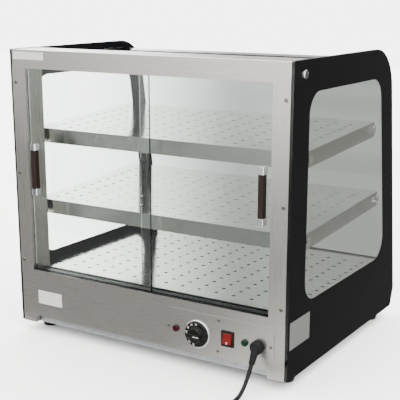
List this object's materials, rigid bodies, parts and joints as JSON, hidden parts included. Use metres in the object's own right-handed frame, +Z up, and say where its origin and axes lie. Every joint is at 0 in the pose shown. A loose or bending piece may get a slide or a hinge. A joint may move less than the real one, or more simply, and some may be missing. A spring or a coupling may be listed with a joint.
{
  "type": "hot food display case",
  "caption": "Counter-top heated glass display case with sliding doors at the front, perforated tilted shelves, curved rear glass, thermostat and switch in a steel base.",
  "frame": {"origin": "middle of the case's width and depth at the surface that the feet stand on, without the mains cord", "axes": "+X to the right of someone at the doors, +Y from the doors to the curved glass, +Z up"},
  "size_m": [0.7696, 0.7696, 0.617],
  "materials": {
    "stainless": "brushed stainless steel sheet",
    "polished_steel": "polished stainless steel sheet",
    "chrome": "bright chrome plate",
    "galvanised": "galvanised sheet",
    "clear_glass": "clear tempered glass",
    "black_print": "black print behind glass",
    "black_plastic": "black moulded plastic",
    "black_gloss": "glossy black plastic",
    "brown_grip": "dark brown polished grip",
    "red_rocker": "translucent red plastic",
    "red_lens": "dark red lens",
    "green_lens": "dark green lens",
    "rubber": "black rubber",
    "cord_black": "black flexible cord jacket",
    "silicone": "clear grey silicone",
    "label_film": "silver label film, blank",
    "heater_sheath": "heat darkened steel sheath",
    "brass": "brass",
    "white_plastic": "white moulded plastic"
  },
  "bodies": {
    "case": {"right_side_glass": "clear_glass", "left_side_glass": "clear_glass", "right_glass_border": "black_print", "left_glass_border": "black_print", "side_glass_caps": "chrome", "base_front_panel": "stainless", "right_base_side": "stainless", "left_base_side": "stainless", "base_rear_panel": "stainless", "bottom_plate": "galvanised", "rubber_feet": "rubber", "foot_screws": "galvanised", "door_sill": "stainless", "lower_door_track": "black_plastic", "upper_door_track": "black_plastic", "top_rail": "stainless", "right_post": "stainless", "left_post": "stainless", "post_screws": "chrome", "top_panel": "polished_steel", "curved_rear_glass": "clear_glass", "rear_glass_seals": "silicone", "glass_rest_bar": "stainless", "rear_glass_channel": "stainless", "upper_shelf_rim": "polished_steel", "upper_shelf_plate": "polished_steel", "lower_shelf_rim": "polished_steel", "lower_shelf_plate": "polished_steel", "shelf_studs": "chrome", "deck_plate": "polished_steel", "heat_pan": "galvanised", "heating_elements": "heater_sheath", "heater_clips": "galvanised", "control_plate": "stainless", "control_plate_screws": "chrome", "red_pilot_lamp": "red_lens", "green_pilot_lamp": "green_lens", "knob_bezel": "chrome", "thermostat_body": "white_plastic", "thermostat_bulb": "brass", "rocker_switch_housing": "black_plastic", "wire_terminals": "brass", "terminal_block": "white_plastic", "cord_gland": "rubber", "gland_locknut": "black_plastic", "power_cord": "cord_black", "cord_coil": "cord_black", "cord_tie": "black_plastic", "plug_body": "rubber", "plug_pins": "chrome", "blank_labels": "label_film"},
    "left_door": {"left_door_glass": "clear_glass", "left_handle_grip": "brown_grip", "left_handle_ends": "chrome"},
    "right_door": {"right_door_glass": "clear_glass", "right_handle_grip": "brown_grip", "right_handle_ends": "chrome"},
    "knob": {"thermostat_knob": "black_gloss", "thermostat_shaft": "chrome"},
    "rocker_key": {"rocker": "red_rocker"}
  },
  "joints": [
    {"name": "left_door_slide", "type": "slide", "parent": "case", "child": "left_door", "axis": [1, 0, 0], "range_m": [0, 0.27]},
    {"name": "right_door_slide", "type": "slide", "parent": "case", "child": "right_door", "axis": [-1, 0, 0], "range_m": [0, 0.27]},
    {"name": "knob_turn", "type": "hinge", "parent": "case", "child": "knob", "pos_m": [0.133, -0.26085, 0.0805], "axis": [0, 1, 0], "range_deg": [0, 270]},
    {"name": "rocker_tilt", "type": "hinge", "parent": "case", "child": "rocker_key", "pos_m": [0.202, -0.26085, 0.084], "axis": [1, 0, 0], "range_deg": [0, 20]}
  ]
}
